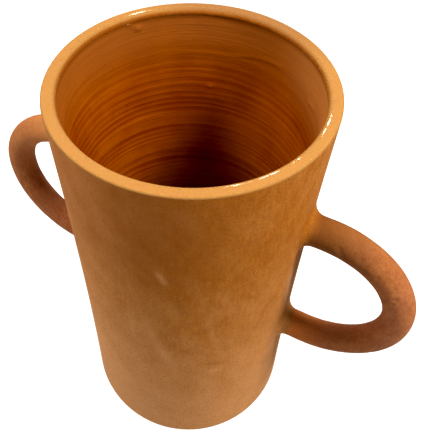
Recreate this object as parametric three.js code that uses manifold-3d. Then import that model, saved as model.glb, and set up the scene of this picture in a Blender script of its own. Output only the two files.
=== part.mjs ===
// A two-handled terracotta vase, thrown on a wheel: a tall straight body with a glazed inside,
// and two round ear handles luted to the wall. Millimetres, +Z up. The origin is the centre of
// the base, and the handles lie along X.
import * as THREE from 'three';
import { mergeVertices } from 'three/addons/utils/BufferGeometryUtils.js';
import Module from 'manifold-3d';

// Thrown body
const height = 307;
const rimRadius = 80;
const footRadius = 78.8; // of the wall just above the foot's rounding
const waist = 1.8; // how far the wall draws in at mid height
const footRounding = 16;
const wallThickness = 8;
const floorThickness = 10;
const floorRounding = 12;
const lipOuterRounding = 1.6;
const lipInnerRounding = 3;
const wallSteps = 6;
const roundSegments = 72;

// Glaze lining
const glazeThickness = 0.6;
const glazeBelowRim = 4;
const liningSegments = 48;

// Handles: a round rope of clay whose centre line leaves the wall level, turns half a circle
// outside it and comes back level
const ropeRadius = 10.1;
const loopRadius = 54;
const loopCentreX = 91.4;
const loopCentreZ = 176;
const ropeSides = 20;
const ropeSteps = 40;

// Luting coils: a ring of clay worked into a cove between the wall and the rope
const coveRadius = 6;
const coilEdge = 0.6; // thickness left at the feathered edges
const coveSteps = 5;
const coilSegments = 24;

const gap = 0.3; // between pieces that touch

const wasm = await Module();
wasm.setup();

const terracotta = { color: 0xb8713a, roughness: 0.85, metalness: 0 };
const handleClay = { color: 0xa8623a, roughness: 0.85, metalness: 0 };
const clearGlaze = { color: 0x94480f, roughness: 0.25, metalness: 0 };

// The wall's outer radius at a height above the foot's rounding.
function wallRadius(z) {
  const u = THREE.MathUtils.clamp((z - footRounding) / (height - footRounding), 0, 1);
  return THREE.MathUtils.lerp(footRadius, rimRadius, u) - waist * 4 * u * (1 - u);
}

// Points of an arc in a profile, as (radius, height), from one angle to another in degrees.
function arc(centreR, centreZ, radius, fromDegrees, toDegrees, steps) {
  return Array.from({ length: steps + 1 }, (_, i) => {
    const angle = THREE.MathUtils.degToRad(fromDegrees + ((toDegrees - fromDegrees) * i) / steps);
    return new THREE.Vector2(
      centreR + radius * Math.cos(angle),
      centreZ + radius * Math.sin(angle),
    );
  });
}

// The wall's line between two heights, moved inwards by an offset.
function wallLine(fromZ, toZ, inwards) {
  return Array.from({ length: wallSteps + 1 }, (_, i) => {
    const z = THREE.MathUtils.lerp(fromZ, toZ, i / wallSteps);
    return new THREE.Vector2(wallRadius(z) - inwards, z);
  });
}

// A profile of (radius, height) turned about Z.
function turned(profile, segments) {
  return new THREE.LatheGeometry(profile, segments).rotateX(Math.PI / 2);
}

// The outside of the body: base, foot rounding and wall, up to the lip's rounding.
function outsideLine() {
  return [
    new THREE.Vector2(0, 0),
    ...arc(footRadius - footRounding, footRounding, footRounding, -90, 0, 6),
    ...wallLine(footRounding, height - lipOuterRounding, 0).slice(1),
  ];
}

// The inside face from the lip down to the middle of the floor, moved inwards from the clay.
function insideLine(fromZ, inwards) {
  const offset = wallThickness + inwards;
  const floorZ = floorThickness + inwards;
  const rounding = floorRounding - inwards;
  const cornerZ = floorZ + rounding;
  const cornerR = wallRadius(cornerZ) - offset - rounding;
  return [
    ...wallLine(fromZ, cornerZ, offset),
    ...arc(cornerR, cornerZ, rounding, 0, -90, 5).slice(1),
    new THREE.Vector2(0, floorZ),
  ];
}

function thrownBody() {
  const lipInnerR = wallRadius(height) - wallThickness;
  const profile = [
    ...outsideLine(),
    ...arc(rimRadius - lipOuterRounding, height - lipOuterRounding, lipOuterRounding, 0, 90, 3).slice(1),
    ...arc(lipInnerR + lipInnerRounding, height - lipInnerRounding, lipInnerRounding, 90, 180, 4),
    ...insideLine(height - lipInnerRounding, 0).slice(1),
  ];
  return turned(profile, roundSegments);
}

// A thin skin that follows the inside of the clay from just under the lip to the floor.
function glazeLining() {
  const top = height - glazeBelowRim;
  const clayFace = insideLine(top, gap).reverse();
  const poolFace = insideLine(top, gap + glazeThickness);
  return turned([...clayFace, ...poolFace], liningSegments);
}

// A closed geometry as a solid that can be cut.
function solid(geometry) {
  const bare = geometry.clone();
  bare.deleteAttribute('normal');
  bare.deleteAttribute('uv');
  const merged = mergeVertices(bare, 1e-4);
  return new wasm.Manifold(
    new wasm.Mesh({
      numProp: 3,
      vertProperties: merged.getAttribute('position').array,
      triVerts: new Uint32Array(merged.index.array),
    }),
  );
}

// A solid back as a geometry.
function geometryOf(cutSolid) {
  const mesh = cutSolid.getMesh();
  return new THREE.BufferGeometry()
    .setAttribute('position', new THREE.BufferAttribute(mesh.vertProperties, 3))
    .setIndex(new THREE.BufferAttribute(mesh.triVerts, 1));
}

// The rope's centre line in the XZ plane: in from the wall, round the loop and back.
class HandleLine extends THREE.Curve {
  constructor() {
    super();
    this.startX = wallRadius(loopCentreZ) - wallThickness / 2;
    this.level = loopCentreX - this.startX;
    this.bend = Math.PI * loopRadius;
    this.arcLengthDivisions = 400;
  }

  getPoint(t, target = new THREE.Vector3()) {
    const s = t * (2 * this.level + this.bend);
    if (s < this.level) {
      return target.set(this.startX + s, 0, loopCentreZ + loopRadius);
    }
    if (s > this.level + this.bend) {
      return target.set(loopCentreX - (s - this.level - this.bend), 0, loopCentreZ - loopRadius);
    }
    const angle = Math.PI / 2 - (s - this.level) / loopRadius;
    return target.set(
      loopCentreX + loopRadius * Math.cos(angle),
      0,
      loopCentreZ + loopRadius * Math.sin(angle),
    );
  }
}

// A rope of clay bent to the handle line, with both ends cut to sit on the wall.
function handleRope() {
  const section = new THREE.Shape(
    Array.from({ length: ropeSides }, (_, i) => {
      const angle = (2 * Math.PI * i) / ropeSides;
      return new THREE.Vector2(ropeRadius * Math.cos(angle), ropeRadius * Math.sin(angle));
    }),
  );
  const rope = new THREE.ExtrudeGeometry(section, {
    steps: ropeSteps,
    extrudePath: new HandleLine(),
  });
  const wallEnvelope = turned(
    [
      new THREE.Vector2(0, 0),
      ...wallLine(footRounding, height, -gap),
      new THREE.Vector2(0, height),
    ],
    roundSegments,
  );
  return geometryOf(solid(rope).subtract(solid(wallEnvelope)));
}

// A ring around the rope's root at a height. Its profile is a cove from the rope down to the
// wall, and its back is wrapped round the wall.
function lutingCoil(rootZ) {
  const boreR = ropeRadius + gap;
  const outerR = boreR + coilEdge + coveRadius;
  const length = coilEdge + coveRadius;
  const profile = [
    new THREE.Vector2(boreR, 0),
    new THREE.Vector2(outerR, 0),
    ...arc(outerR, length, coveRadius, -90, -180, coveSteps),
    new THREE.Vector2(boreR, length),
    new THREE.Vector2(boreR, 0),
  ];
  const ring = new THREE.LatheGeometry(profile, coilSegments);
  const place = ring.getAttribute('position');
  for (let i = 0; i < place.count; i += 1) {
    const y = -place.getX(i);
    const z = rootZ + place.getZ(i);
    const wallX = Math.sqrt((wallRadius(z) + gap) ** 2 - y ** 2);
    place.setXYZ(i, wallX + place.getY(i), y, z);
  }
  return ring;
}

function piece(name, geometry, look) {
  const mesh = new THREE.Mesh(geometry, new THREE.MeshStandardMaterial(look));
  mesh.name = name;
  return mesh;
}

// One handle with its two luting coils, turned about Z to its side of the body.
function handle(side, turn) {
  const assembly = new THREE.Group();
  assembly.add(
    piece(`handle_${side}`, handleRope(), handleClay),
    piece(`luting_coil_upper_${side}`, lutingCoil(loopCentreZ + loopRadius), terracotta),
    piece(`luting_coil_lower_${side}`, lutingCoil(loopCentreZ - loopRadius), terracotta),
  );
  assembly.rotation.z = turn;
  return assembly;
}

const group = new THREE.Group();
group.add(
  piece('thrown_body', thrownBody(), terracotta),
  piece('glaze_lining', glazeLining(), clearGlaze),
  handle('right', 0),
  handle('left', Math.PI),
);

export default group;
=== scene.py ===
"""A tall two-handled terracotta vase: matte fired clay outside, clear glaze inside.

Everything is in metres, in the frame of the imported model: +Z up along the turning axis, the
base on z = 0, and the two handles along X. The body, the glaze lining, the handles and the
luting coils are each remodelled here over the plain solids of the same names.
"""

import logging
import math
import random
from dataclasses import dataclass, field, replace
from enum import Enum
from functools import reduce

import bmesh
import bpy
from bmesh.types import BMEdge, BMVert
from bpy.types import Material, Object
from mathutils import Matrix, Vector, noise


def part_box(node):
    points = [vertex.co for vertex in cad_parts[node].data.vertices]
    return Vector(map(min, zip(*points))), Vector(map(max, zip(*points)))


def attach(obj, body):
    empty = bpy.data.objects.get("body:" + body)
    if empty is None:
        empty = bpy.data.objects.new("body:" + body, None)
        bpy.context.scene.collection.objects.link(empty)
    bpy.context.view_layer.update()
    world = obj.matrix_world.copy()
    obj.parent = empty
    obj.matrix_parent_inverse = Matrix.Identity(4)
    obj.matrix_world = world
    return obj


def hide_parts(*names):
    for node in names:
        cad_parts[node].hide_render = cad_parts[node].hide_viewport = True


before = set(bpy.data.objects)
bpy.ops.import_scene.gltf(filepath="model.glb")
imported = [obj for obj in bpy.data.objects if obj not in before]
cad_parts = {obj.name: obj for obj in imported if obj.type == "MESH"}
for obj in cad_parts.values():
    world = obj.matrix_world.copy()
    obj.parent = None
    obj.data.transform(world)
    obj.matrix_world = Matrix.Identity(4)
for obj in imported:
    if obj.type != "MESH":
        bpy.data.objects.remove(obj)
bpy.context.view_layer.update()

Socket = bpy.types.NodeSocket
Mesh = bmesh.types.BMesh
Triple = tuple[float, float, float]

MM = 0.001
X, Y, Z = range(3)
ON_AXIS = 1e-6
BODY = "root"

log = logging.getLogger("vase")


class Side(Enum):
    """The side of the body that a handle is on, as the sign of its X."""

    RIGHT = 1
    LEFT = -1


class Root(Enum):
    """The end of a handle where a luting coil joins it to the wall."""

    UPPER = 1
    LOWER = -1


# ------------------------------------------------------------------------------ small tools


def smoothstep(low: float, high: float, value: float) -> float:
    """A soft step, from 0 at low to 1 at high, which may be below low."""
    t = min(1.0, max(0.0, (value - low) / (high - low)))
    return t * t * (3.0 - 2.0 * t)


def turn_between(start: float, end: float) -> float:
    """The shorter turn from one angle to another, in degrees."""
    return (end - start + 180.0) % 360.0 - 180.0


def cloud(point: Vector, size: float, seed: float) -> float:
    """Soft noise from about -1 to 1 with lumps of one size, its own for each seed."""
    return noise.noise(point / size + Vector((seed, seed * 1.7, -seed)))


def at(x: float, z: float) -> Vector:
    """A point of a section in the XZ plane."""
    return Vector((x, 0.0, z))


def arc(centre: Vector, radius: float, start: float, end: float, steps: int) -> list[Vector]:
    """Points along an arc in the XZ plane, between two angles in degrees from +X towards +Z."""
    angles = [math.radians(start + (end - start) * i / steps) for i in range(steps + 1)]
    return [centre + radius * at(math.cos(a), math.sin(a)) for a in angles]


def spun(profile: list[Vector], axis: Vector, steps: int) -> Mesh:
    """A profile turned a full circle about an axis through the origin.

    The first part of the circle is spun, and then doubled until the circle is full.

    Args:
        profile: The outline's points, in order. A solid's first and last point are on the
            axis or are the same point.
        axis: The axis.
        steps: How many steps the circle takes, a multiple of 16.

    Returns:
        A bmesh with merged seam and poles, and its faces outwards.
    """
    mesh = bmesh.new()
    ring = [mesh.verts.new(point) for point in profile]
    edges = [mesh.edges.new(pair) for pair in zip(ring, ring[1:])]
    doublings = 4
    turn = 2.0 * math.pi / 2**doublings
    bmesh.ops.spin(mesh, geom=ring + edges, axis=axis, angle=turn, steps=steps // 2**doublings)
    for doubling in range(doublings):
        copied = bmesh.ops.duplicate(mesh, geom=mesh.verts[:] + mesh.edges[:] + mesh.faces[:])
        verts = picked(copied["geom"], BMVert)
        bmesh.ops.rotate(mesh, verts=verts, matrix=Matrix.Rotation(turn * 2**doubling, 3, axis))
    bmesh.ops.remove_doubles(mesh, verts=mesh.verts, dist=0.002 * MM)
    bmesh.ops.recalc_face_normals(mesh, faces=mesh.faces)
    return mesh


def outward_of(place: Vector) -> Vector:
    """The direction from the vase's axis to a place off it."""
    return Vector((place.x, place.y, 0.0)).normalized()


def picked(items: list, kind: type) -> list:
    """The vertices, edges or faces in what an operator returns."""
    return [item for item in items if isinstance(item, kind)]


def finished(mesh: Mesh, name: str, material: Material) -> Object:
    """A bmesh as a smooth-shaded object at the origin.

    Args:
        mesh: The bmesh, which is freed.
        name: The piece's name.
        material: Its finish.

    Returns:
        The object, linked to the scene.
    """
    for face in mesh.faces:
        face.smooth = True
    data = bpy.data.meshes.new(name)
    mesh.to_mesh(data)
    mesh.free()
    data.materials.append(material)
    piece = bpy.data.objects.new(name, data)
    bpy.context.scene.collection.objects.link(piece)
    return piece


def keep_values(piece: Object, values: dict[str, list[float]]) -> None:
    """Keeps numbers at a piece's points for its material to read.

    Args:
        piece: The piece.
        values: For each attribute's name, one number for each point.
    """
    for name, numbers in values.items():
        attribute = piece.data.attributes.new(name, "FLOAT", "POINT")
        attribute.data.foreach_set("value", numbers)


def mount(piece: Object, node: str) -> Object:
    """Ties a piece to the frame in place of a CAD node.

    Args:
        piece: The piece.
        node: The CAD node that it stands for.

    Returns:
        The piece.
    """
    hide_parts(node)
    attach(piece, BODY)
    log.info("%s: %d faces for %s", piece.name, len(piece.data.polygons), node)
    return piece


# ------------------------------------------------------------------------------- the finishes


@dataclass(frozen=True)
class Pattern:
    """Noise on object coordinates.

    The size of its lumps is in metres, and the detail is how many finer levels it has. The lumps
    are stretched along each axis, turned in degrees and moved in metres.
    """

    size: float
    detail: float = 2.0
    stretch: Triple = (1.0, 1.0, 1.0)
    turn: Triple = (0.0, 0.0, 0.0)
    shift: Triple = (0.0, 0.0, 0.0)


# The clay: broad drifts, the marks of sponge and fingers, and its grain.
DRIFT = Pattern(42 * MM, 5.0, (1.0, 1.0, 1.6))
PATCHES = Pattern(30 * MM, 5.0, (1.0, 1.0, 1.5), shift=(0.3, 0.1, 0.7))
WIPED = Pattern(7 * MM, 6.0, (1.0, 1.0, 5.0), (22.0, 28.0, 0.0))
RUBBED = Pattern(5 * MM, 6.0, (1.0, 1.0, 6.0), (-40.0, -34.0, 0.0), (0.2, 0.0, 0.4))
DRAWN = Pattern(1.8 * MM, 4.0, (1.0, 1.0, 14.0), (6.0, 8.0, 0.0))
WHEEL = Pattern(2.2 * MM, 3.0, (30.0, 30.0, 1.0))
GRAIN = Pattern(1.3 * MM, 4.0)
SAND = Pattern(0.45 * MM)

# The ragged edges of the changes of colour, and the broken surface of the lip.
JOINT_EDGE = Pattern(12 * MM, 3.0)
DUST_AND_LIGHT_EDGE = Pattern(15 * MM, 8.0, (1.0, 1.0, 2.0), (14.0, -20.0, 0.0))
SPOTS = Pattern(1.2 * MM, 5.0, shift=(0.1, 0.4, 0.0))
WORN_LIP = Pattern(1.4 * MM, 5.0)
WET_LIP = Pattern(3 * MM, 3.0, shift=(0.05, 0.0, 0.0))

# The glaze: broad drifts, fine lines round the wall, and an uneven gloss.
GLAZE_DRIFT = Pattern(30 * MM, 3.0, (1.0, 1.0, 1.5))
GLAZE_LINES = Pattern(1.3 * MM, 3.0, (40.0, 40.0, 1.0))
GLAZE_GLOSS = Pattern(6 * MM, 3.0)
GLAZE_RIPPLE = Pattern(2.5 * MM, stretch=(4.0, 4.0, 1.0))


class NodeGraph:
    """A material's nodes, added and wired one step at a time."""

    SURFACE = ("Base Color", "Roughness", "Specular IOR Level")

    def __init__(self, name: str) -> None:
        """Starts a material with only its shader and output.

        Args:
            name: The material's name.
        """
        self.material = bpy.data.materials.new(name)
        self.material.use_nodes = True
        self.tree = self.material.node_tree
        self.shader = self.tree.nodes["Principled BSDF"]
        self.place = self.tree.nodes.new("ShaderNodeTexCoord").outputs["Object"]

    def wire(self, socket: Socket, value: object) -> None:
        """Links an output to an input, or sets the input's value.

        Args:
            socket: The input.
            value: An output socket, a number or a tuple.
        """
        if isinstance(value, Socket):
            self.tree.links.new(value, socket)
        else:
            socket.default_value = value

    def added(self, kind: str, *values: object) -> bpy.types.Node:
        """Adds a node.

        Args:
            kind: Its type.
            values: Its inputs, in order.

        Returns:
            The node.
        """
        node = self.tree.nodes.new(kind)
        for socket, value in zip(node.inputs, values):
            self.wire(socket, value)
        return node

    def math(self, operation: str, *values: object) -> Socket:
        """A Math node.

        Args:
            operation: What it does, such as "MULTIPLY".
            values: Its inputs, in order.

        Returns:
            Its output.
        """
        node = self.added("ShaderNodeMath", *values)
        node.operation = operation
        return node.outputs[0]

    def product(self, *factors: object) -> Socket:
        """The product of outputs and numbers."""
        return reduce(lambda first, second: self.math("MULTIPLY", first, second), factors)

    def total(self, *terms: object) -> Socket:
        """The sum of outputs and numbers."""
        return reduce(lambda first, second: self.math("ADD", first, second), terms)

    def weighted(self, *parts: tuple[Socket, float]) -> Socket:
        """The sum of outputs, each times its weight."""
        return self.total(*(self.product(value, weight) for value, weight in parts))

    def noise(self, pattern: Pattern) -> Socket:
        """Adds a pattern.

        Args:
            pattern: The pattern.

        Returns:
            Its value, which is mostly from 0.3 to 0.7.
        """
        turn = tuple(math.radians(angle) for angle in pattern.turn)
        mapping = self.added("ShaderNodeMapping", self.place, pattern.shift, turn, pattern.stretch)
        mapping.vector_type = "TEXTURE"
        node = self.tree.nodes.new("ShaderNodeTexNoise")
        node.inputs["Scale"].default_value = 1.0 / pattern.size
        node.inputs["Detail"].default_value = pattern.detail
        self.wire(node.inputs["Vector"], mapping.outputs[0])
        return node.outputs["Fac"]

    def specks(self, spacing: float, radius: float, share: float) -> Socket:
        """Scattered round specks.

        Args:
            spacing: The mean distance between possible specks, in metres.
            radius: A speck's radius, in metres.
            share: The part of the possible specks that are there, from 0 to 1.

        Returns:
            1 in a speck's middle, and 0 between specks.
        """
        node = self.tree.nodes.new("ShaderNodeTexVoronoi")
        node.inputs["Scale"].default_value = 1.0 / spacing
        self.wire(node.inputs["Vector"], self.place)
        spot = self.ramp(node.outputs["Distance"], radius / spacing, 0.3 * radius / spacing)
        chosen = self.math("LESS_THAN", self.channel(node.outputs["Color"], 0), share)
        return self.product(spot, chosen)

    def channel(self, vector: Socket, index: int) -> Socket:
        """One coordinate of a vector, or one channel of a colour."""
        return self.added("ShaderNodeSeparateXYZ", vector).outputs[index]

    def ramp(self, value: object, low: float, high: float) -> Socket:
        """A soft step, as smoothstep makes.

        Args:
            value: The value to step on.
            low: Where the result is 0.
            high: Where the result is 1.

        Returns:
            A value from 0 to 1.
        """
        levels = (high, low, 1.0, 0.0) if low > high else (low, high, 0.0, 1.0)
        node = self.added("ShaderNodeMapRange", value, *levels)
        node.interpolation_type = "SMOOTHSTEP"
        return node.outputs["Result"]

    def blend(self, factor: object, first: object, second: object) -> Socket:
        """A mix of two colours.

        Args:
            factor: 0 gives the first and 1 the second.
            first: A colour, as an output or (r, g, b).
            second: The same.

        Returns:
            The mixed colour.
        """
        node = self.tree.nodes.new("ShaderNodeMix")
        node.data_type = "RGBA"
        self.wire(node.inputs[0], factor)
        for socket, colour in zip((node.inputs[6], node.inputs[7]), (first, second)):
            self.wire(socket, (*colour, 1.0) if isinstance(colour, tuple) else colour)
        return node.outputs[2]

    def attribute(self, name: str) -> Socket:
        """A number kept at the mesh's points.

        Args:
            name: The attribute's name.

        Returns:
            Its value, or 0 on a mesh without it.
        """
        node = self.tree.nodes.new("ShaderNodeAttribute")
        node.attribute_name = name
        return node.outputs["Fac"]

    def shade(self, colour: object, roughness: object, gloss: float) -> None:
        """Sets the shader's base colour, roughness and specular level."""
        for name, value in zip(self.SURFACE, (colour, roughness, gloss)):
            self.wire(self.shader.inputs[name], value)

    def relief(self, height: Socket, depth: float) -> None:
        """Gives the shader fine relief.

        Args:
            height: The relief, from 0 to 1.
            depth: How deep 1 is, in metres.
        """
        node = self.tree.nodes.new("ShaderNodeBump")
        node.inputs["Distance"].default_value = depth
        self.wire(node.inputs["Height"], height)
        self.wire(self.shader.inputs["Normal"], node.outputs[0])


@dataclass(frozen=True)
class ClayFinish:
    """Fired terracotta, wiped with a sponge while it was wet.

    A handle changes colour from its joint with the wall outwards, as painted light and shade: above
    the joint levels to the joint's painted shading, which darkens the right handle's upper arm and
    lightens the left one's, and below them to a painted glow of bounced light on the lower arm.
    """

    name: str
    pale: Triple
    deep: Triple
    bloom: Triple
    fleck: Triple
    bloom_share: float = 0.5
    pit_share: float = 0.1
    fleck_share: float = 0.22
    roughness: float = 0.8
    gloss: float = 0.12
    relief_depth: float = 0.4 * MM
    joint: float = 86 * MM
    joint_reach: float = 160 * MM
    joint_levels: tuple[float, float] = (165 * MM, 215 * MM)
    # Painted shade: the upper arm near the joint is darkened.
    painted_joint_shading: Triple = (0.215, 0.089, 0.022)
    heel_reach: float = 130 * MM
    # Painted light: a glow of bounced light on the lower arm near the joint.
    painted_heel_glow: Triple = (0.5, 0.19, 0.054)
    heel_glow_share: float = 0.9

    def base(self) -> tuple[NodeGraph, Socket, Socket]:
        """The clay's own colour and relief.

        Returns:
            The graph, its colour and its height from 0 to 1.
        """
        graph = NodeGraph(self.name)
        rubbed, grain = graph.noise(RUBBED), graph.noise(GRAIN)
        pits = graph.specks(7.0 * MM, 0.6 * MM, self.pit_share)
        flecks = graph.specks(2.6 * MM, 0.32 * MM, self.fleck_share)
        marks = (graph.noise(WIPED), 0.26), (rubbed, 0.24), (graph.noise(DRAWN), 0.34)
        tone = graph.weighted((graph.noise(DRIFT), 0.16), *marks)
        colour = graph.blend(graph.ramp(tone, 0.38, 0.62), self.deep, self.pale)
        bloom = graph.product(graph.ramp(graph.noise(PATCHES), 0.46, 0.72), self.bloom_share)
        colour = graph.blend(bloom, colour, self.bloom)
        speckle = graph.product(graph.ramp(grain, 0.5, 0.64), 0.6)
        colour = graph.blend(speckle, colour, self.fleck)
        colour = graph.blend(graph.product(flecks, 0.3), colour, self.pale)
        colour = graph.blend(graph.product(pits, 0.75), colour, tuple(0.4 * c for c in self.deep))
        fine = (grain, 0.5), (graph.noise(SAND), 0.25), (graph.noise(WHEEL), 0.12)
        return graph, colour, graph.weighted(*fine, (rubbed, 0.5), (pits, -0.9))

    def build(self) -> Material:
        """The material of a handle.

        Returns:
            The clay, with the changes of colour towards the joints.
        """
        graph, colour, height = self.base()
        out = graph.math("ABSOLUTE", graph.channel(graph.place, X))
        out = graph.total(out, graph.product(graph.noise(JOINT_EDGE), 16 * MM))
        upper = graph.ramp(graph.channel(graph.place, Z), *self.joint_levels)
        # Painted shading on the upper arm near the joint.
        joint_shading = graph.product(graph.ramp(out, self.joint_reach, self.joint), upper, 0.9)
        colour = graph.blend(joint_shading, colour, self.painted_joint_shading)
        lower = graph.math("SUBTRACT", 1.0, upper)
        # Painted bounce light on the lower arm near the joint.
        heel_glow = graph.product(graph.ramp(out, self.heel_reach, self.joint), lower, self.heel_glow_share)
        graph.shade(graph.blend(heel_glow, colour, self.painted_heel_glow), self.roughness, self.gloss)
        graph.relief(height, self.relief_depth)
        return graph.material


@dataclass(frozen=True)
class WallClayFinish(ClayFinish):
    """The body's clay: paler towards the foot and one side as dust and painted bounce light and sheen, with
    painted shade high up and on the lip's back, and a pale lip that holds glaze.
    """

    lip: Triple = (0.298, 0.161, 0.053)
    # Painted shade on the back of the lip.
    lip_back_shade: Triple = (0.24, 0.124, 0.046)
    # Partly dust and partly painted light: bounce from the floor on the lower wall and a grazing sheen on
    # one side.
    dust_and_painted_light: Triple = (0.52, 0.275, 0.125)
    slip: Triple = (0.6, 0.34, 0.18)
    # Painted shade, laid high on the wall.
    upper_wall_shade: Triple = (0.26, 0.086, 0.009)
    # Painted shade round the right handle's upper root.
    root: Triple = (0.205, 0.077, 0.017)
    dust_and_sheen_side: Triple = (-0.5, -0.85, 0.0)
    rim_height: float = 0.3
    lip_depth: float = 1.6 * MM
    wet_roughness: float = 0.12
    coat_roughness: float = 0.06

    def between(self, graph: NodeGraph, low: float, high: float) -> Socket:
        """A soft step between two heights, which are given as shares of the rim's height."""
        return graph.ramp(graph.channel(graph.place, Z), low * self.rim_height, high * self.rim_height)

    def aged(self, graph: NodeGraph, colour: Socket) -> Socket:
        """Lays painted shade high on the wall, most on the left, and round the right handle's upper root,
        then a paler wash over the lower wall and one side, partly dust and partly painted bounce light
        and sheen, then fine spots.

        Args:
            graph: The graph.
            colour: The clay's colour.

        Returns:
            The aged colour.
        """
        across = graph.channel(graph.place, X)
        # Painted shade: the upper wall is darkened, more on the left, away from the right-hand lights.
        away = graph.product(graph.ramp(across, 75 * MM, 20 * MM), 0.5)
        share = graph.product(self.between(graph, 0.55, 0.92), graph.total(away, 0.2))
        colour = graph.blend(share, colour, self.upper_wall_shade)
        # Painted shade round the right handle's upper root, on the wall and its luting coil, matching the
        # handle's painted joint shade.
        band = graph.product(self.between(graph, 0.6, 0.7), self.between(graph, 0.88, 0.8))
        root_shade = graph.product(graph.ramp(across, 77 * MM, 85 * MM), band, 0.9)
        colour = graph.blend(root_shade, colour, self.root)
        # Paler towards the foot and on one side: partly dust, partly painted bounce light from the floor
        # and painted sheen.
        low = self.between(graph, 0.84, 0.04)
        facing = graph.added("ShaderNodeVectorMath", graph.place, self.dust_and_sheen_side)
        facing.operation = "DOT_PRODUCT"
        sideways = graph.ramp(facing.outputs["Value"], 45 * MM, 82 * MM)
        ragged = graph.math("SUBTRACT", graph.noise(DUST_AND_LIGHT_EDGE), 0.5)
        share = graph.weighted((low, 0.76), (sideways, 0.25), (ragged, 0.55))
        share = graph.math("MINIMUM", graph.math("MAXIMUM", share, 0.0), 0.85)
        spots = graph.product(graph.ramp(graph.noise(SPOTS), 0.5, 0.64), 0.35)
        return graph.blend(spots, graph.blend(share, colour, self.dust_and_painted_light), self.fleck)

    def build(self) -> Material:
        """The material.

        Returns:
            The clay. It reads two attributes of the body: "stroke", above 0 where slip was wiped
            on and below 0 in a dark mark, and "wet", 1 where glaze stayed on the lip.
        """
        graph, colour, height = self.base()
        colour = self.aged(graph, colour)
        stroke = graph.attribute("stroke")
        colour = graph.blend(graph.math("MAXIMUM", stroke, 0.0), colour, self.slip)
        dark = graph.math("MAXIMUM", graph.product(stroke, -1.0), 0.0)
        colour = graph.blend(dark, colour, tuple(0.6 * c for c in self.deep))
        level = graph.channel(graph.place, Z)
        on_lip = graph.ramp(level, self.rim_height - self.lip_depth, self.rim_height - 0.6 * self.lip_depth)
        worn = graph.total(0.45, graph.product(graph.noise(WORN_LIP), 0.9))
        # Painted shade: the lip is darker towards the back.
        back_shade = graph.ramp(graph.channel(graph.place, Y), 45 * MM, 75 * MM)
        lip = graph.blend(back_shade, self.lip, self.lip_back_shade)
        colour = graph.blend(graph.product(on_lip, worn), colour, lip)
        wet = graph.product(graph.attribute("wet"), graph.ramp(graph.noise(WET_LIP), 0.32, 0.56))
        smoother = graph.product(wet, self.roughness - self.wet_roughness)
        graph.shade(colour, graph.math("SUBTRACT", self.roughness, smoother), self.gloss)
        graph.wire(graph.shader.inputs["Coat Weight"], wet)
        graph.wire(graph.shader.inputs["Coat Roughness"], self.coat_roughness)
        filled = graph.math("SUBTRACT", 1.0, graph.product(wet, 0.8))
        graph.relief(graph.product(height, filled), self.relief_depth)
        return graph.material


@dataclass(frozen=True)
class GlazeFinish:
    """Clear glaze over the same clay, which it darkens and deepens.

    It is thin on ridges and pooled in grooves. It is worn between the two bare heights and darker
    there, partly as painted shade, and there on the right it carries a painted sheen.
    """

    name: str
    thin: Triple
    pooled: Triple
    # Partly worn glaze and partly painted shade: the top of the inside, where most light falls, is darker.
    worn: Triple
    # Painted sheen, as the glaze's reflection on the right of the inside.
    painted_sheen: Triple
    bare: tuple[float, float]
    roughness: float = 0.22
    gloss: float = 0.35
    relief_depth: float = 0.14 * MM

    def build(self) -> Material:
        """The material.

        Returns:
            The glaze. It reads the lining's "pool" attribute, 0 on a ridge and 1 in a groove.
        """
        graph = NodeGraph(self.name)
        drift, lines = graph.noise(GLAZE_DRIFT), graph.noise(GLAZE_LINES)
        streaks = graph.math("SUBTRACT", lines, 0.5)
        depth = graph.weighted((graph.attribute("pool"), 0.4), (drift, 0.6), (streaks, 0.5))
        colour = graph.blend(graph.ramp(depth, 0.1, 0.9), self.thin, self.pooled)
        level = graph.total(graph.channel(graph.place, Z), graph.product(drift, 20 * MM))
        # The worn band near the rim, darkened partly as painted shade.
        worn_and_shaded = graph.ramp(level, *self.bare)
        colour = graph.blend(graph.product(worn_and_shaded, 0.8), colour, self.worn)
        # Painted sheen on the right, within the worn band.
        right = graph.ramp(graph.channel(graph.place, X), 15 * MM, 65 * MM)
        colour = graph.blend(graph.product(right, worn_and_shaded, 0.85), colour, self.painted_sheen)
        rough = graph.weighted((graph.noise(GLAZE_GLOSS), 0.16), (worn_and_shaded, 0.15))
        graph.shade(colour, graph.total(rough, self.roughness), self.gloss)
        graph.relief(graph.total(lines, graph.noise(GLAZE_RIPPLE)), self.relief_depth)
        return graph.material


# -------------------------------------------------------------------------------- the pieces


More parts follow.
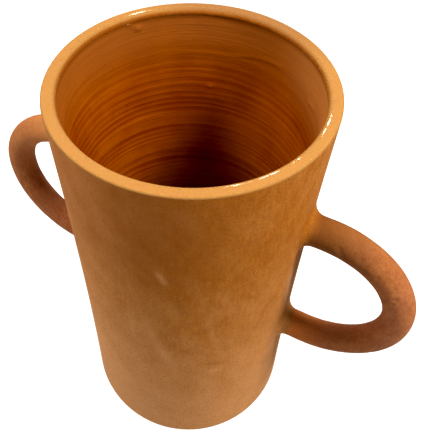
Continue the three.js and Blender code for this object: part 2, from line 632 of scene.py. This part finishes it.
@dataclass(frozen=True)
class WallLine:
    """The thrown wall, which every other piece is fitted to."""

    height: float
    rim_radius: float
    foot_radius: float
    waist: float = 1.8 * MM
    foot_rounding: float = 16 * MM
    thickness: float = 8 * MM
    floor: float = 10 * MM
    floor_rounding: float = 12 * MM
    undercut: float = 1.0 * MM

    def levels(self, top: float, bottom: float) -> list[float]:
        """Heights down the inside, close together under the lip and then far apart.

        Args:
            top: The first height.
            bottom: The last one.

        Returns:
            The heights.
        """
        below_rim = (3, 4, 5, 6, 7, 9, 12, 16, 22, 30, 60, 100, 150, 200, 250)
        between = [self.height - below * MM for below in below_rim]
        return [top] + [z for z in between if bottom + MM < z < top - 0.2 * MM] + [bottom]

    def bore(self, z: float) -> float:
        """The clay's inner radius at a height, with a soft undercut below the lip."""
        near = smoothstep(3 * MM, 6.5 * MM, self.height - z) * smoothstep(24 * MM, 8 * MM, self.height - z)
        return self.radius(z) - self.thickness + self.undercut * near

    def radius(self, z: float) -> float:
        """The wall's outer radius at a height, before any unevenness."""
        u = min(1.0, max(0.0, (z - self.foot_rounding) / (self.height - self.foot_rounding)))
        return self.foot_radius * (1.0 - u) + self.rim_radius * u - self.waist * 4.0 * u * (1.0 - u)

    def dip(self, point: Vector) -> float:
        """How far the wiped surface lies inside the plain wall.

        Args:
            point: A place on the plain wall.

        Returns:
            The depth, never below 0.
        """
        broad = 0.08 * cloud(point, 60 * MM, 3.1)
        wiped = 0.05 * cloud(Vector((point.x, point.y, point.z * 0.45)), 14 * MM, 8.7)
        wheel = 0.02 * cloud(Vector((point.x * 0.1, point.y * 0.1, point.z)), 3.5 * MM, 1.3)
        return (0.15 + broad + wiped + wheel) * MM


@dataclass(frozen=True)
class Stroke:
    """A straight mark of sponge, finger or slip on the unrolled wall.

    Its ends are an angle in degrees and a height, the upper end first. Its tone is above 0 for
    slip and below 0 for a dark mark.
    """

    start: tuple[float, float]
    end: tuple[float, float]
    width: float
    tone: float
    depth: float = 0.0

    def share(self, azimuth: float, z: float, radius: float) -> float:
        """How strong the mark is at a place.

        Args:
            azimuth: The place's angle about the axis from +X, in degrees.
            z: Its height.
            radius: The wall's radius there.

        Returns:
            1 along the middle of the mark, and 0 away from it.
        """
        reach = 2.0 * self.width
        if not self.end[1] - reach < z < self.start[1] + reach:
            return 0.0
        turn = turn_between(self.start[0], azimuth)
        place = Vector((math.radians(turn) * radius, z - self.start[1]))
        run = Vector((math.radians(self.end[0] - self.start[0]) * radius, self.end[1] - self.start[1]))
        along = min(1.0, max(0.0, place.dot(run) / run.length_squared))
        away = (place - run * along).length
        if away > reach:
            return 0.0
        ends = smoothstep(-0.05, 0.3, along) * smoothstep(1.05, 0.6, along)
        return math.exp(-((1.6 * away / self.width) ** 2)) * max(ends, 0.15)


STROKES = (
    Stroke((-87.0, 200 * MM), (-67.0, 108 * MM), 7 * MM, 0.25),
    Stroke((-75.5, 243 * MM), (-71.5, 228 * MM), 3 * MM, 0.4),
    Stroke((-57.0, 133 * MM), (-45.0, 128 * MM), 1.8 * MM, -0.4, 0.3 * MM),
    Stroke((-54.0, 121 * MM), (-45.0, 119 * MM), 5 * MM, 0.25),
    Stroke((-70.0, 219 * MM), (-62.0, 189 * MM), 3 * MM, -0.2, 0.1 * MM),
    # Pale slip beside the right handle between its roots, made paler also as a painted highlight along that
    # edge.
    Stroke((-9.0, 206 * MM), (-4.0, 150 * MM), 5 * MM, 0.6),
)


@dataclass(frozen=True)
class GlazeSpot:
    """A place on the lip that the glaze didn't run off.

    Its middle is an angle in degrees and a distance from the axis. Its spread is in degrees.
    """

    azimuth: float
    radius: float
    spread: float
    width: float

    def share(self, azimuth: float, radius: float) -> float:
        """How wet a place on the lip looks, 1 in the middle of the spot and 0 away from it."""
        turn = turn_between(self.azimuth, azimuth) / self.spread
        return smoothstep(1.6, 0.7, math.hypot(turn, (radius - self.radius) / self.width))


GLAZE_SPOTS = (
    GlazeSpot(144.0, 75.2 * MM, 5.0, 0.45 * MM),
    GlazeSpot(-46.0, 74.6 * MM, 4.0, 0.45 * MM),
    GlazeSpot(-34.0, 74.5 * MM, 3.5, 0.6 * MM),
    GlazeSpot(-21.0, 74.6 * MM, 1.5, 0.4 * MM),
    GlazeSpot(3.0, 74.3 * MM, 5.0, 0.45 * MM),
)


@dataclass
class ThrownBody:
    """The body: a straight wall, a floor with a rounded foot, and a soft flat lip."""

    line: WallLine
    clay: Material
    lip_outer: float = 1.1 * MM
    lip_inner: float = 3.0 * MM
    lip_sag: float = 0.15 * MM
    lip_lumps: float = 0.06 * MM
    base_hollow: float = 0.3 * MM
    wall_step: float = 1.25 * MM
    steps: int = 288
    glaze_spots: tuple[GlazeSpot, ...] = GLAZE_SPOTS
    strokes: tuple[Stroke, ...] = STROKES
    stroke_limit: float = 0.5
    scattered: int = 40
    seed: int = 5

    def __post_init__(self) -> None:
        """Adds faint marks all round, the same ones each time."""
        chance = random.Random(self.seed)
        for _ in range(self.scattered):
            azimuth, z = chance.uniform(-180.0, 180.0), chance.uniform(40 * MM, 280 * MM)
            end = (azimuth + chance.uniform(-16.0, 16.0), z - chance.uniform(5 * MM, 60 * MM))
            width, tone = chance.uniform(1.5 * MM, 6 * MM), chance.uniform(-0.16, 0.2)
            self.strokes += (Stroke((azimuth, z), end, width, tone, 0.06 * MM),)

    def profile(self) -> list[Vector]:
        """The outline from the middle of the base, out and up the wall, and down inside.

        Returns:
            Its points.
        """
        line = self.line
        foot = at(line.foot_radius - line.foot_rounding, line.foot_rounding)
        points = [at(foot.x * share, 0.0) for share in (0.0, 0.25, 0.5, 0.75, 0.9)]
        points += arc(foot, line.foot_rounding, -90.0, 0.0, 14)
        top = line.height - self.lip_outer
        rows = round((top - line.foot_rounding) / self.wall_step)
        for row in range(1, rows + 1):
            z = line.foot_rounding + (top - line.foot_rounding) * row / rows
            points.append(at(line.radius(z), z))
        edge = at(line.rim_radius - self.lip_outer, top)
        points += arc(edge, self.lip_outer, 0.0, 90.0, 6)[1:]
        inner = at(line.bore(line.height) + self.lip_inner, line.height - self.lip_inner)
        across = inner.x - edge.x
        points += [at(edge.x + across * share, line.height) for share in (0.25, 0.5, 0.75)]
        points += arc(inner, self.lip_inner, 90.0, 180.0, 8)
        levels = line.levels(inner.z, line.floor + line.floor_rounding)
        points += [at(line.bore(z), z) for z in levels[1:]]
        corner = points[-1] - at(line.floor_rounding, 0.0)
        points += arc(corner, line.floor_rounding, 0.0, -90.0, 6)[1:]
        points += [at(corner.x * share, line.floor) for share in (0.5, 0.0)]
        return points

    def settle(self, mesh: Mesh) -> dict[str, list[float]]:
        """Makes the turned shape uneven, as hands leave it.

        Args:
            mesh: The body, which is changed.

        Returns:
            The values of its "stroke" and "wet" attributes.
        """
        line = self.line
        mesh.verts.index_update()
        tones, wets = [0.0] * len(mesh.verts), [0.0] * len(mesh.verts)
        for vertex in mesh.verts:
            place = vertex.co
            across = math.hypot(place.x, place.y)
            if across < ON_AXIS:
                vertex.co.z += self.base_hollow if place.z < line.floor / 2 else 0.0
                continue
            outward = outward_of(place)
            outside = smoothstep(line.rim_radius - line.thickness, line.rim_radius - 2 * MM, across)
            on_wall = outside * smoothstep(0.0, line.foot_rounding, place.z)
            lip = smoothstep(line.height - 4 * MM, line.height, place.z)
            dip = line.dip(place) * on_wall
            azimuth = math.degrees(math.atan2(place.y, place.x))
            for stroke in self.strokes if on_wall > self.stroke_limit else []:
                share = stroke.share(azimuth, place.z, across)
                tones[vertex.index] += stroke.tone * share
                dip += stroke.depth * share
            if lip > 0.0:
                wets[vertex.index] = max(spot.share(azimuth, across) for spot in self.glaze_spots)
            sag = self.lip_sag * (0.5 + 0.5 * cloud(outward, 0.8, 5.2)) * lip
            lumps = self.lip_lumps * (1.0 + cloud(place, 7 * MM, 2.4)) * lip
            hollow = self.base_hollow * smoothstep(0.8 * line.foot_radius, 0.2 * line.foot_radius, across)
            base = smoothstep(1 * MM, 0.0, place.z)
            vertex.co = place - outward * dip + at(0.0, hollow * base - sag - lumps)
        return {"stroke": tones, "wet": wets}

    def build(self) -> Object:
        """Models the body and ties it to the frame.

        Returns:
            The piece.
        """
        mesh = spun(self.profile(), at(0.0, 1.0), self.steps)
        values = self.settle(mesh)
        piece = finished(mesh, "body_clay", self.clay)
        keep_values(piece, values)
        return mount(piece, "thrown_body")


@dataclass(frozen=True)
class Smear:
    """A raised mark inside the wall: a run of glaze or a ridge of slurry.

    Its middle is an angle in degrees and a distance below the rim. The slope is how far it falls
    for each metre round the wall.
    """

    azimuth: float
    below_rim: float
    length: float
    width: float
    height: float
    slope: float = 0.0

    def raised(self, azimuth: float, below_rim: float, radius: float) -> float:
        """How far the mark stands out at a place.

        Args:
            azimuth: The place's angle about the axis from +X, in degrees.
            below_rim: Its distance down from the rim.
            radius: The wall's radius there.

        Returns:
            The height of the mark at that place.
        """
        turn = turn_between(self.azimuth, azimuth)
        along = math.radians(turn) * radius
        down = below_rim - self.below_rim - self.slope * along
        if abs(along) > self.length or abs(down) > 2.0 * self.width:
            return 0.0
        body = math.exp(-((2.0 * along / self.length) ** 2))
        edge = smoothstep(self.width, 0.45 * self.width, down) * smoothstep(-2.0 * self.width, 0.0, down)
        return self.height * body * edge


SMEARS = (
    Smear(149.5, 5.0 * MM, 9 * MM, 1.2 * MM, 0.6 * MM, -0.7),
    Smear(145.0, 9.0 * MM, 3.0 * MM, 1.9 * MM, 0.95 * MM),
    Smear(73.0, 23.5 * MM, 16 * MM, 0.9 * MM, 0.5 * MM, 0.1),
    Smear(88.0, 27.0 * MM, 16 * MM, 0.9 * MM, 0.4 * MM, 0.2),
    Smear(39.0, 26.5 * MM, 9 * MM, 1.5 * MM, 0.6 * MM, 0.15),
    Smear(107.3, 57.0 * MM, 1.8 * MM, 1.5 * MM, 0.9 * MM),
)


@dataclass
class GlazeLining:
    """The thin clear glaze on the inside, which follows the throwing rings in the clay."""

    line: WallLine
    glaze: Material
    below_rim: float = 3.2 * MM
    film: float = 0.4 * MM
    sunk: float = 0.15 * MM
    ring_pitch: float = 5.6 * MM
    ring_depth: float = 0.34 * MM
    plain_floor: float = 3 * MM
    row_step: float = 1.25 * MM
    steps: int = 256
    smears: tuple[Smear, ...] = SMEARS

    def profile(self) -> list[Vector]:
        """The outline: up the back against the clay, and down the glossy face.

        Returns:
            Its points.
        """
        line = self.line
        top = line.height - self.below_rim
        corner_z = line.floor + line.floor_rounding
        points = [at(0.0, line.floor - self.sunk)]
        points += self.wall_and_corner(line.levels(top, corner_z), 0.0)[::-1]
        rows = round((top - corner_z) / self.row_step)
        levels = [top + (corner_z - top) * row / rows for row in range(rows + 1)]
        points += self.wall_and_corner(levels, self.film)
        flat = points[-1]
        points += [at(flat.x * share, flat.z) for share in (0.75, 0.5, 0.25, 0.0)]
        return points

    def wall_and_corner(self, levels: list[float], film: float) -> list[Vector]:
        """One face of the lining from its top edge down to the flat of the floor.

        Args:
            levels: The heights down the wall, to where the floor's rounding starts.
            film: How far it stands off the clay below its thin top edge.

        Returns:
            Its points.
        """
        wall = []
        for z in levels:
            full = smoothstep(0.0, 7 * MM, levels[0] - z) if film > 0.0 else 0.0
            wall.append(at(self.line.bore(z) + self.sunk - (self.sunk + film) * full, z))
        rounding = self.line.floor_rounding - film
        centre = wall[-1] - at(rounding, 0.0)
        return wall + arc(centre, rounding, 0.0, -90.0, 10)[1:]

    def ring(self, point: Vector, azimuth: float) -> float:
        """The throwing rings: a spiral groove whose pitch and depth wander.

        Args:
            point: A place on the wall.
            azimuth: Its angle about the axis, in degrees.

        Returns:
            From 0 on a ridge to 1 in a groove.
        """
        below = self.line.height - point.z
        wander = 0.9 * noise.noise(at(below / (17 * MM), 4.0))
        phase = below / self.ring_pitch + azimuth / 360.0 + wander
        wave = abs(math.sin(math.pi * phase)) ** 0.7
        fade = smoothstep(5 * MM, 50 * MM, below)
        strength = 0.6 + 0.5 * noise.noise(Vector((below / (13 * MM), azimuth / 90.0, 7.0)))
        return wave * fade * strength

    def settle(self, mesh: Mesh) -> list[float]:
        """Presses the rings and marks into the glossy face.

        Args:
            mesh: The lining, which is changed.

        Returns:
            For each vertex, 0 on a ridge and 1 in a groove.
        """
        pool = []
        for vertex in mesh.verts:
            place = vertex.co.copy()
            across = math.hypot(place.x, place.y)
            back = self.line.bore(place.z) + 0.7 * self.sunk
            if across < ON_AXIS or across > back or place.z < self.line.floor + self.plain_floor:
                pool.append(0.5)
                continue
            azimuth = math.degrees(math.atan2(place.y, place.x))
            below = self.line.height - place.z
            ring = self.ring(place, azimuth)
            raised = sum(smear.raised(azimuth, below, across) for smear in self.smears)
            uneven = 0.1 * MM * cloud(place, 20 * MM, 6.1)
            edge = smoothstep(self.below_rim, self.below_rim + 3 * MM, below)
            inwards = (self.ring_depth * (1.0 - ring) + raised + uneven) * edge
            vertex.co = place - outward_of(place) * inwards
            pool.append(min(1.0, max(0.0, ring - raised / MM)))
        return pool

    def build(self) -> Object:
        """Models the lining and ties it to the frame.

        Returns:
            The piece.
        """
        mesh = spun(self.profile(), at(0.0, 1.0), self.steps)
        mesh.verts.index_update()
        pool = self.settle(mesh)
        piece = finished(mesh, "glaze_skin", self.glaze)
        keep_values(piece, {"pool": pool})
        return mount(piece, "glaze_lining")


@dataclass(frozen=True)
class Dent:
    """A small pit pressed into a handle, at an angle round its loop and one round its rope."""

    loop_angle: float
    rope_angle: float
    radius: float
    depth: float

    def pressed(self, loop_angle: float, rope_angle: float, rope: float, reach: float) -> float:
        """How deep the pit is at a place.

        Args:
            loop_angle: The place's angle round the loop from outermost, in degrees.
            rope_angle: Its angle round the rope from outermost towards the front, in degrees.
            rope: The rope's radius.
            reach: The place's distance from the loop's centre.

        Returns:
            The depth.
        """
        along = math.radians(loop_angle - self.loop_angle) * reach
        across = math.radians(rope_angle - self.rope_angle) * rope
        return self.depth * smoothstep(self.radius, 0.3 * self.radius, math.hypot(along, 0.6 * across))


DENTS = (
    Dent(68.0, 62.0, 1.5 * MM, 0.5 * MM),
    Dent(54.0, 74.0, 1.2 * MM, 0.4 * MM),
    Dent(34.0, 70.0, 1.7 * MM, 0.6 * MM),
    Dent(31.0, 84.0, 1.1 * MM, 0.4 * MM),
    Dent(-12.0, 66.0, 1.3 * MM, 0.35 * MM),
)


@dataclass
class Handle:
    """One ear handle: a rope of clay that leaves the wall level, loops and comes back."""

    side: Side
    line: WallLine
    clay: Material
    coil_clay: Material
    rope: float = 9.8 * MM
    drawn_in: float = 0.2 * MM
    sunk: float = 1.5 * MM
    cove: float = 6.5 * MM
    feather: float = 2.5 * MM
    thumbing: float = 0.35 * MM
    shrunk: float = 0.1 * MM
    around: int = 96
    loop_steps: int = 160
    dents: tuple[Dent, ...] = DENTS
    level_steps: int = 14
    reach: float = field(init=False)
    middle: float = field(init=False)
    loop: float = field(init=False)

    def __post_init__(self) -> None:
        """Works out the loop from the box of the CAD handle."""
        low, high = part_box(f"handle_{self.side.name.lower()}")
        self.middle = (low.z + high.z) / 2.0
        self.loop = (high.z - low.z) / 2.0 - self.rope
        self.reach = max(abs(low.x), abs(high.x)) - self.rope - self.loop - self.drawn_in

    def rope_mesh(self) -> Mesh:
        """The rope on the right-hand side, from its upper end to its lower end.

        Returns:
            The closed rope.
        """
        start = self.line.radius(self.middle + self.loop) - self.sunk
        mesh = bmesh.new()
        stand = Matrix.Translation((start, 0.0, self.middle + self.loop))
        stand @= Matrix.Rotation(math.pi / 2, 4, "Y")
        made = bmesh.ops.create_circle(mesh, segments=self.around, radius=self.rope, matrix=stand)
        edges = list({edge for vertex in made["verts"] for edge in vertex.link_edges})
        stride = at((self.reach - start) / self.level_steps, 0.0)
        edges = self.drawn(mesh, edges, stride)
        turned = bmesh.ops.spin(
            mesh,
            geom=edges + list({v for edge in edges for v in edge.verts}),
            cent=(self.reach, 0.0, self.middle),
            axis=(0.0, 1.0, 0.0),
            angle=math.pi,
            steps=self.loop_steps,
        )
        edges = picked(turned["geom_last"], BMEdge)
        self.drawn(mesh, edges, -stride)
        bmesh.ops.holes_fill(mesh, edges=[edge for edge in mesh.edges if edge.is_boundary])
        bmesh.ops.recalc_face_normals(mesh, faces=mesh.faces)
        return mesh

    def drawn(self, mesh: Mesh, edges: list[BMEdge], stride: Vector) -> list[BMEdge]:
        """Draws an open end of the rope out along a straight line.

        Args:
            mesh: The rope.
            edges: The open end's edges.
            stride: How far each step moves.

        Returns:
            The new open end's edges.
        """
        for _ in range(self.level_steps):
            out = bmesh.ops.extrude_edge_only(mesh, edges=edges)["geom"]
            bmesh.ops.translate(mesh, vec=stride, verts=picked(out, BMVert))
            edges = picked(out, BMEdge)
        return edges

    def settle(self, mesh: Mesh, seed: float) -> None:
        """Leaves the marks of squeezing and wiping on the rope.

        Args:
            mesh: The rope, which is changed.
            seed: Makes each handle's marks its own.
        """
        mesh.normal_update()
        for vertex in mesh.verts:
            place = vertex.co
            squeezed = 0.22 * cloud(place, 30 * MM, seed)
            wiped = 0.08 * cloud(place, 7 * MM, seed + 3.0)
            pressed = 0.3 * smoothstep(0.3, 0.7, cloud(place, 6 * MM, seed + 7.0))
            out, up = place.x - self.reach, place.z - self.middle
            reach = math.hypot(out, up)
            if out > 0.0:
                turn = math.degrees(math.atan2(up, out))
                facing = math.degrees(math.atan2(-place.y, reach - self.loop))
                pits = sum(dent.pressed(turn, facing, self.rope, reach) for dent in self.dents)
                place = place - vertex.normal * pits
            vertex.co = place + vertex.normal * ((squeezed + wiped - pressed) * MM - self.shrunk)

    def coil_profile(self) -> list[Vector]:
        """The coil's section, with its distance off the wall along X and its radius along Z.

        Returns:
            Its points, from the wall to the rope and back inside the clay.
        """
        toe = self.rope + self.cove
        points = [at(-0.22 * MM, toe + self.feather)]
        points += [at(-0.05 * MM, toe + 0.5 * self.feather)]
        points += arc(at(self.cove, toe), self.cove, 180.0, 270.0, 18)
        points += [at(self.cove + 0.5 * self.feather, self.rope - 0.08 * MM)]
        points += [at(self.cove + self.feather, self.rope - 0.35 * MM)]
        deep = self.rope - 1.2 * MM
        points += [at(self.cove + self.feather, deep), at(-self.sunk, deep)]
        points += [at(-self.sunk, toe + self.feather), points[0].copy()]
        return points

    def coil_mesh(self, root: Root) -> Mesh:
        """One luting coil on the right-hand side, wrapped onto the wall.

        Args:
            root: Which end of the handle it is at.

        Returns:
            The closed ring.
        """
        level = self.middle + root.value * self.loop
        mesh = spun(self.coil_profile(), at(1.0, 0.0), self.around)
        for vertex in mesh.verts:
            place = vertex.co
            off_wall = place.x
            z = level + place.z
            plain = self.line.radius(z)
            on_wall = Vector((math.sqrt(plain * plain - place.y * place.y), place.y, z))
            near = smoothstep(self.cove, 0.0, off_wall)
            dip = self.line.dip(self.mirrored(on_wall)) * near
            surface = on_wall - outward_of(on_wall) * dip
            shown = near * smoothstep(-0.3 * MM, 0.6 * MM, off_wall)
            thumbed = self.thumbing * cloud(on_wall, 9 * MM, 4.0 + root.value) * shown
            vertex.co = surface + at(off_wall + thumbed, 0.0)
        return mesh

    def mirrored(self, point: Vector) -> Vector:
        """A right-hand place as it is on this handle's side."""
        return Vector((point.x * self.side.value, point.y * self.side.value, point.z))

    def placed(self, mesh: Mesh) -> Mesh:
        """Turns a right-hand mesh to this handle's side.

        Args:
            mesh: The mesh, which is turned.

        Returns:
            The same mesh.
        """
        if self.side is Side.LEFT:
            bmesh.ops.rotate(mesh, verts=mesh.verts, matrix=Matrix.Rotation(math.pi, 3, "Z"))
        return mesh

    def build(self) -> list[Object]:
        """Models the handle and its two luting coils, and ties them to the frame.

        Returns:
            The three pieces.
        """
        side = self.side.name.lower()
        rope = self.rope_mesh()
        self.settle(rope, 2.0 if self.side is Side.RIGHT else 11.0)
        pieces = [finished(self.placed(rope), f"ear_handle_{side}", self.clay)]
        mount(pieces[0], f"handle_{side}")
        for root in Root:
            name = f"{root.name.lower()}_{side}"
            coil = finished(self.placed(self.coil_mesh(root)), f"luted_joint_{name}", self.coil_clay)
            pieces.append(mount(coil, f"luting_coil_{name}"))
        return pieces


# -------------------------------------------------------------------------------- the studio


@dataclass(frozen=True)
class SoftLight:
    """A square soft light that points at the vase, with angles in degrees and power in watts."""

    name: str
    azimuth: float
    elevation: float
    distance: float
    size: float
    power: float
    colour: Triple = (1.0, 1.0, 1.0)

    def build(self, target: Vector) -> None:
        """Adds the light.

        Args:
            target: The place that it points at.
        """
        lamp = bpy.data.lights.new(self.name, "AREA")
        lamp.size = self.size
        lamp.energy = self.power
        lamp.color = self.colour
        azimuth, elevation = math.radians(self.azimuth), math.radians(self.elevation)
        flat = math.cos(elevation)
        back = Vector((math.sin(azimuth) * flat, -math.cos(azimuth) * flat, math.sin(elevation)))
        light = bpy.data.objects.new(self.name, lamp)
        light.rotation_euler = back.to_track_quat("Z", "Y").to_euler()
        light.location = target + back * self.distance
        bpy.context.scene.collection.objects.link(light)


LIGHTS = (
    SoftLight("key", 91.5, 54.5, 1.2, 0.28, 16.0, (1.0, 0.98, 0.91)),
    SoftLight("left", -54.0, 54.0, 1.2, 0.25, 8.8, (1.0, 0.97, 0.92)),
    SoftLight("side", -88.0, 58.0, 1.2, 0.4, 2.6, (1.0, 0.97, 0.92)),
    SoftLight("window", 208.0, 37.0, 1.2, 0.3, 5.0),
)


@dataclass
class Studio:
    """A pale floor, soft lights and the camera, which looks down past the right handle.

    The camera stands out from the axis and up from the floor. Its angles are in degrees.
    """

    centre: Vector
    floor_size: float = 6.0
    floor_colour: Triple = (0.16, 0.16, 0.16)
    floor_roughness: float = 0.9
    floor_glow: float = 0.7
    sky: float = 0.12
    exposure: float = 0.5
    gamma: float = 0.8
    black: float = 0.008
    camera_azimuth: float = 27.205
    camera_out: float = 0.2471
    camera_up: float = 0.5036
    camera_pitch: float = 48.85
    camera_yaw: float = -0.64
    camera_roll: float = 0.32
    lens: float = 49.06
    shift: tuple[float, float] = (0.067, -0.057)
    lights: tuple[SoftLight, ...] = LIGHTS

    def floor(self) -> None:
        """Adds the floor."""
        mesh = bmesh.new()
        bmesh.ops.create_grid(mesh, x_segments=1, y_segments=1, size=self.floor_size / 2.0)
        graph = NodeGraph("studio_floor")
        graph.wire(graph.shader.inputs["Base Color"], (*self.floor_colour, 1.0))
        graph.wire(graph.shader.inputs["Roughness"], self.floor_roughness)
        graph.wire(graph.shader.inputs["Emission Color"], (1.0, 1.0, 1.0, 1.0))
        graph.wire(graph.shader.inputs["Emission Strength"], self.floor_glow)
        finished(mesh, "studio_floor", graph.material)

    def surroundings(self) -> None:
        """Sets an even white surround and a plain colour response."""
        scene = bpy.context.scene
        scene.world = bpy.data.worlds.new("studio")
        scene.world.use_nodes = True
        background = scene.world.node_tree.nodes["Background"]
        background.inputs["Color"].default_value = (1.0, 1.0, 1.0, 1.0)
        tree = scene.world.node_tree
        seen = tree.nodes.new("ShaderNodeLightPath").outputs["Is Camera Ray"]
        strength = tree.nodes.new("ShaderNodeMix")
        strength.inputs["A"].default_value, strength.inputs["B"].default_value = self.sky, 1.0
        tree.links.new(seen, strength.inputs["Factor"])
        tree.links.new(strength.outputs["Result"], background.inputs["Strength"])
        scene.view_settings.view_transform = "Standard"
        scene.view_settings.exposure = self.exposure
        scene.view_settings.gamma = self.gamma
        scene.view_settings.use_curve_mapping = True
        scene.view_settings.curve_mapping.black_level = [self.black] * 3

    def camera(self) -> None:
        """Adds the camera."""
        data = bpy.data.cameras.new("camera")
        data.lens = self.lens
        data.shift_x, data.shift_y = self.shift
        data.clip_start = 0.01
        azimuth = math.radians(self.camera_azimuth)
        camera = bpy.data.objects.new("camera", data)
        out = Vector((math.sin(azimuth), -math.cos(azimuth), 0.0)) * self.camera_out
        turn = Matrix.Rotation(azimuth - math.radians(self.camera_yaw), 4, "Z")
        tip = Matrix.Rotation(math.radians(90.0 - self.camera_pitch), 4, "X")
        roll = Matrix.Rotation(math.radians(self.camera_roll), 4, "Z")
        stand = Matrix.Translation(out + at(0.0, self.camera_up))
        camera.matrix_world = stand @ turn @ tip @ roll
        bpy.context.scene.collection.objects.link(camera)
        bpy.context.scene.camera = camera

    def build(self) -> None:
        """Adds everything round the vase."""
        self.floor()
        self.surroundings()
        for light in self.lights:
            light.build(self.centre)
        self.camera()
        log.info("studio: %d lights", len(self.lights))


def main() -> None:
    """Builds the vase and its surroundings."""
    logging.basicConfig(level=logging.INFO, format="%(name)s: %(message)s")
    _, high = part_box("thrown_body")
    inset, taper = 0.02 * MM, 1.2 * MM
    line = WallLine(height=high.z, rim_radius=high.y - inset, foot_radius=high.y - taper)
    wall_clay = WallClayFinish(
        "wall_clay",
        pale=(0.39, 0.167, 0.027),
        deep=(0.31, 0.115, 0.014),
        bloom=(0.38, 0.172, 0.038),
        fleck=(0.24, 0.084, 0.011),
        rim_height=line.height,
    ).build()
    right_clay = ClayFinish(
        "handle_clay_right",
        pale=(0.37, 0.161, 0.064),
        deep=(0.29, 0.108, 0.044),
        bloom=(0.34, 0.15, 0.082),
        fleck=(0.25, 0.089, 0.038),
        pit_share=0.08,
    )
    left_clay = replace(
        right_clay,
        name="handle_clay_left",
        # Painted light: the left handle's upper arm near its joint is lightened, and it has no painted glow
        # below.
        painted_joint_shading=(0.52, 0.245, 0.09),
        joint_reach=170 * MM,
        heel_glow_share=0.0,
    )
    glaze = GlazeFinish(
        "clear_glaze",
        thin=(0.41, 0.13, 0.007),
        pooled=(0.2, 0.03, 0.0005),
        worn=(0.3, 0.114, 0.024),
        painted_sheen=(0.46, 0.21, 0.065),
        bare=(line.height - 42 * MM, line.height + 5 * MM),
    ).build()
    ThrownBody(line, wall_clay).build()
    GlazeLining(line, glaze).build()
    Handle(Side.RIGHT, line, right_clay.build(), wall_clay, drawn_in=0.9 * MM).build()
    Handle(Side.LEFT, line, left_clay.build(), wall_clay).build()
    Studio(centre=at(0.0, high.z / 2.0)).build()


if __name__ == "__main__":
    main()
